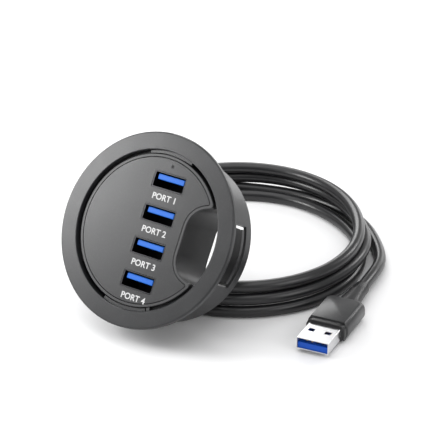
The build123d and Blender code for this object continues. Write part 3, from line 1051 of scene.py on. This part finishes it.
@dataclass
class GlandSleeve:
    """The ribbed strain relief where the cable leaves the hub's back, in millimetres."""

    spot: tuple[float, float] = (-16.0, 3.0)
    inside: float = -17.8
    cover: float = -19.0
    back: float = -20.5
    length: float = 12.0
    flange: float = 4.3
    neck: float = 3.2
    root: float = 3.7
    tip: float = 2.85
    ribs: int = 6
    groove: float = 0.35
    rib_marks: tuple[tuple[float, float], ...] = (
        (0.15, 0.0), (0.3, 0.0), (0.4, 1.0), (0.75, 1.0), (0.85, 0.0))
    steps: int = 40

    def profile(self) -> list[tuple[float, float]]:
        """The sleeve's side, from the flange to the tip.

        Returns:
            Its (radius, height) points.
        """
        line = [(0.0, self.inside), (self.flange, self.inside), (self.flange, self.cover),
                (self.neck, self.cover), (self.neck, self.back), (self.root, self.back)]
        for rib in range(self.ribs):
            for share, cut in self.rib_marks:
                along = (rib + share) / self.ribs
                radius = self.root + (self.tip - self.root) * along - cut * self.groove
                line.append((radius, self.back - self.length * along))
        return line + [(self.tip, self.back - self.length), (0.0, self.back - self.length)]

    def build(self, finish: bpy.types.Material) -> bpy.types.Object:
        """Turns the sleeve.

        Args:
            finish: its rubber.

        Returns:
            The piece.
        """
        bm = turned(self.profile(), self.steps)
        place = Matrix.Translation((*self.spot, 0.0))
        bmesh.ops.transform(bm, matrix=HUB_MM @ place, verts=bm.verts)
        sleeve = new_piece("gland_sleeve", bm, finish)
        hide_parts("cord_gland")
        return sleeve


@dataclass
class PlugBody:
    """The plug's moulded grip with its flat panels, and the tapered boot behind it.

    Sizes are in millimetres of the plug's frame. A boot stage gives how far along the boot it is
    and how much of the root's oval is left there, both as shares.
    """

    width: float = 15.4
    height: float = 7.4
    start: float = 11.4
    length: float = 19.0
    middle: float = 3.9
    side_round: float = 3.0
    side_segments: int = 8
    end_round: float = 0.5
    end_segments: int = 3
    collar_length: float = 2.2
    collar_inset: float = 0.4
    collar_lap: float = 0.5
    panel_width: float = 13.0
    panel_back: float = 2.25
    panel_rise: float = 0.2
    panel_depth: float = 1.6
    panel_end_gap: float = 0.15
    panel_corner: float = 2.4
    corner_segments: int = 6
    panel_edge: float = 0.45
    edge_segments: int = 2
    boot_length: float = 16.5
    boot_sunk: float = 0.4
    boot_root: tuple[float, float] = (8.6, 5.6)
    boot_tip: float = 2.85
    boot_stages: tuple[tuple[float, float], ...] = (
        (0.0, 1.0), (0.06, 1.0), (0.25, 0.80), (0.45, 0.46), (0.62, 0.2), (0.78, 0.06),
        (0.92, 0.0), (0.93, 0.0))
    boot_step: float = 2.5
    boot_step_at: float = 0.935
    boot_sides: int = 32

    def grip(self, finish: bpy.types.Material, dark: bpy.types.Material) -> bpy.types.Object:
        """Makes the grip, its dark front collar and its two panels as one piece.

        Args:
            finish: the grip's plastic.
            dark: the collar's plastic.

        Returns:
            The piece.
        """
        back = self.start + self.length
        split = self.start + self.collar_length
        blocks = ((split, back, 0.0), (self.start, split + self.collar_lap, self.collar_inset))
        bm = bmesh.new()
        for index, (front, end, shrink) in enumerate(blocks):
            one = bmesh.new()
            wide, tall = self.width / 2 - shrink, self.height / 2 - shrink
            make_block(one, (-wide, front, self.middle - tall), (wide, end, self.middle + tall))
            sides = edges_where(one, lambda a, b: abs(a.y - b.y) > SAME)
            round_edges(one, sides, self.side_round - shrink, self.side_segments)
            ends = edges_where(one, lambda a, b: abs(a.y - b.y) < SAME)
            round_edges(one, ends, self.end_round - shrink / 2, self.end_segments)
            for face in one.faces:
                face.material_index = index
            self.join(bm, one)
        for side in (1, -1):
            self.add_panel(bm, side, back)
        bmesh.ops.transform(bm, matrix=plug_matrix(), verts=bm.verts)
        piece = new_piece("plug_grip_body", bm, finish)
        piece.data.materials.append(dark)
        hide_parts("plug_grip")
        return piece

    @staticmethod
    def join(bm: bmesh.types.BMesh, one: bmesh.types.BMesh) -> None:
        """Moves one mesh into another and frees it.

        Args:
            bm: the mesh that grows.
            one: the mesh that is moved into it.
        """
        mesh = bpy.data.meshes.new("part")
        one.to_mesh(mesh)
        one.free()
        bm.from_mesh(mesh)
        bpy.data.meshes.remove(mesh)

    def add_panel(self, bm: bmesh.types.BMesh, side: int, end: float) -> None:
        """Adds one flat panel with rounded far corners.

        Args:
            bm: the grip's mesh.
            side: 1 for the top panel, -1 for the one below.
            end: the grip's back end.
        """
        one = bmesh.new()
        top = self.middle + side * (self.height / 2 + self.panel_rise)
        deep = top - side * self.panel_depth
        front = self.start + self.panel_back
        make_block(one, (-self.panel_width / 2, front, min(top, deep)),
                   (self.panel_width / 2, end - self.panel_end_gap, max(top, deep)))
        corners = edges_where(one, lambda a, b: abs(a.z - b.z) > SAME
                              and min(a.y, b.y) > front + SAME)
        round_edges(one, corners, self.panel_corner, self.corner_segments)
        rim = edges_where(one, lambda a, b: abs(a.z - top) < SAME and abs(b.z - top) < SAME)
        round_edges(one, rim, self.panel_edge, self.edge_segments)
        self.join(bm, one)

    def boot(self, finish: bpy.types.Material) -> bpy.types.Object:
        """Makes the boot, from an oval root inside the grip to a round tip with a step at its end.

        The root's end is left open, inside the grip.

        Args:
            finish: its rubber.

        Returns:
            The piece.
        """
        long = self.boot_length + self.boot_sunk
        root_wide, root_tall = self.boot_root[0] / 2, self.boot_root[1] / 2
        sizes = [(along * long, self.boot_tip + (root_wide - self.boot_tip) * share,
                  self.boot_tip + (root_tall - self.boot_tip) * share)
                 for along, share in self.boot_stages]
        sizes += [(along * long, self.boot_step, self.boot_step)
                  for along in (self.boot_step_at, 1.0)]
        bm = bmesh.new()
        ring = bmesh.ops.create_circle(bm, cap_ends=True, radius=1.0,
                                       segments=self.boot_sides)["verts"]
        face = bm.faces[:][0]
        circle = [(v, math.atan2(v.co.y, v.co.x)) for v in ring]
        for vert, angle in circle:
            vert.co = (sizes[0][1] * math.cos(angle), 0.0, sizes[0][2] * math.sin(angle))
        for along, wide, tall in sizes[1:]:
            face = bmesh.ops.extrude_discrete_faces(bm, faces=[face])["faces"][0]
            for vert in face.verts:
                angle = math.atan2(vert.co.z, vert.co.x)
                vert.co = (wide * math.cos(angle), along, tall * math.sin(angle))
        place = Matrix.Translation((0.0, self.start + self.length - self.boot_sunk, self.middle))
        bmesh.ops.transform(bm, matrix=plug_matrix() @ place, verts=bm.verts)
        piece = new_piece("plug_boot_sleeve", bm, finish)
        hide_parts("plug_boot")
        return piece


def hub_polar(node: str) -> tuple[float, float, float, float, float, float]:
    """A CAD node's reach in the hub's frame, in millimetres and degrees.

    Args:
        node: the node's name.

    Returns:
        Least and greatest radius, angle and height.
    """
    turn = HUB.inverted()
    spots = [turn @ v.co / MM for v in frame["nodes"][node].data.vertices]
    radii = [math.hypot(p.x, p.y) for p in spots]
    angles = [math.degrees(math.atan2(p.y, p.x)) for p in spots]
    heights = [p.z for p in spots]
    return (min(radii), max(radii), min(angles), max(angles), min(heights), max(heights))


# ------------------------------------------------------------------ finishes of the CAD pieces


STEEL = MetalFinish((0.55, 0.55, 0.56), 0.32)
GOLD = MetalFinish((0.86, 0.62, 0.26), 0.24)
JACKET = MouldedFinish((0.012, 0.012, 0.013), 0.30, handling=0.3, dust=0.015)
SLEEVE_RUBBER = MouldedFinish((0.008, 0.008, 0.009), 0.40, dust=0.01)
GRIP_PLASTIC = MouldedFinish((0.022, 0.0225, 0.024), 0.32, specular=0.6)
# The pad's own dark rubber, made near-black to also paint the shade in the skirt's window.
PAD_RUBBER_AND_SHADE = MouldedFinish((0.003, 0.003, 0.0033), 0.42, dust=0.01, specular=0.18)
LABEL_INK = InkFinish((0.60, 0.60, 0.60))


@dataclass
class Casing:
    """The ring, the face, the housing and the back cover with its screws."""

    ring: Finish = MouldedFinish((0.016, 0.0165, 0.018), 0.31, Grain.SPARK, variation=0.2,
                                 handling=0.7)
    face: Finish = MouldedFinish((0.018, 0.0185, 0.0198), 0.31, Grain.SPARK)
    housing: Finish = MouldedFinish((0.024, 0.0245, 0.026), 0.38, Grain.SPARK)
    cover: Finish = MouldedFinish((0.018, 0.0185, 0.02), 0.45, Grain.SPARK)

    def dress(self) -> None:
        """Dresses the casing's CAD nodes."""
        dress({"grommet_ring": self.ring, "port_face": self.face, "hub_housing": self.housing,
               "back_cover": self.cover, "cover_screws": STEEL})


@dataclass
class Board:
    """The circuit board, the parts on it, its wires and its screws."""

    laminate: Finish = LaminateFinish((0.012, 0.09, 0.035), (0.03, 0.16, 0.06))
    resin: Finish = MouldedFinish((0.012, 0.012, 0.013), 0.4)
    can: Finish = MetalFinish((0.72, 0.72, 0.70), 0.3)
    ceramic: Finish = MouldedFinish((0.30, 0.20, 0.12), 0.35)
    film: Finish = MouldedFinish((0.015, 0.015, 0.016), 0.3)
    nylon: Finish = MouldedFinish((0.62, 0.60, 0.52), 0.4)
    wire: Finish = MouldedFinish((0.45, 0.04, 0.03), 0.4)
    light: Finish = ClearFinish((0.75, 0.74, 0.55))
    light_pipe: Finish = ClearFinish((0.006, 0.006, 0.007), 0.1)

    def dress(self) -> None:
        """Dresses the board's CAD nodes."""
        dress({"circuit_board": self.laminate, "hub_controller": self.resin,
               "voltage_regulator": self.resin, "clock_crystal": self.can,
               "capacitors": self.ceramic, "resistors": self.film,
               "cable_connector": self.nylon, "cable_wires": self.wire, "status_led": self.light,
               "status_light_pipe": self.light_pipe, "board_screws": STEEL})


@dataclass
class Sockets:
    """The four sockets: shells painted dark and blue tongues painted near-black deeper in, both as painted shade
    inside the sockets, and their contacts.
    """

    # The shell's near-black colour is painted shade: it stands for the darkness inside the socket.
    shell: Finish = MetalFinish((0.06, 0.06, 0.063), 0.30)
    # The second colour is painted shade: near-black deep inside each socket.
    tongue: Finish = SocketFinish((0.010, 0.13, 0.58), (0.004, 0.004, 0.005), -0.2 * MM, 1.5 * MM)
    contacts: Finish = MetalFinish((0.10, 0.085, 0.06), 0.35)

    def dress(self) -> None:
        """Dresses each socket's CAD nodes."""
        for number in PORTS:
            dress({f"port_{number}_shell": self.shell, f"port_{number}_tongue": self.tongue,
                   f"port_{number}_contacts": self.contacts})


@dataclass
class PlugFront:
    """The plug's metal shell, its blue insulator and its contacts."""

    shell: Finish = MetalFinish((0.72, 0.72, 0.735), 0.24, stretch=(12.0, 1.0, 1.0))
    insulator: Finish = MouldedFinish((0.006, 0.085, 0.52), 0.42, dust=0.0, specular=0.25)

    def dress(self) -> None:
        """Dresses the plug's CAD nodes."""
        dress({"plug_shell": self.shell, "plug_insulator": self.insulator,
               "plug_contacts": GOLD})


def build_cable_set() -> None:
    """Makes the cable with its gland sleeve, its boot and the plug's grip."""
    sleeve_rubber = SLEEVE_RUBBER.material("sleeve_rubber")
    plug = PlugBody()
    boot = plug.boot(sleeve_rubber)
    grip = plug.grip(GRIP_PLASTIC.material("grip_plastic"), sleeve_rubber)
    sleeve = GlandSleeve().build(sleeve_rubber)
    front = [frame["nodes"][name] for name in ("plug_shell", "plug_insulator", "plug_contacts")]
    Cable().build(JACKET.material("cable_jacket"), [sleeve, boot, grip, *front])


def main() -> None:
    """Builds and dresses the hub."""
    logging.basicConfig(level=logging.INFO, format="%(name)s: %(message)s")
    studio = Studio()
    studio.camera()
    build_cable_set()
    studio.floor()
    studio.lights()
    GripPad().build(PAD_RUBBER_AND_SHADE.material("pad_rubber"))
    PortLabels().build(LABEL_INK.material("label_ink"))
    for assembly in (Casing(), Board(), Sockets(), PlugFront()):
        assembly.dress()


if __name__ == "__main__":
    main()
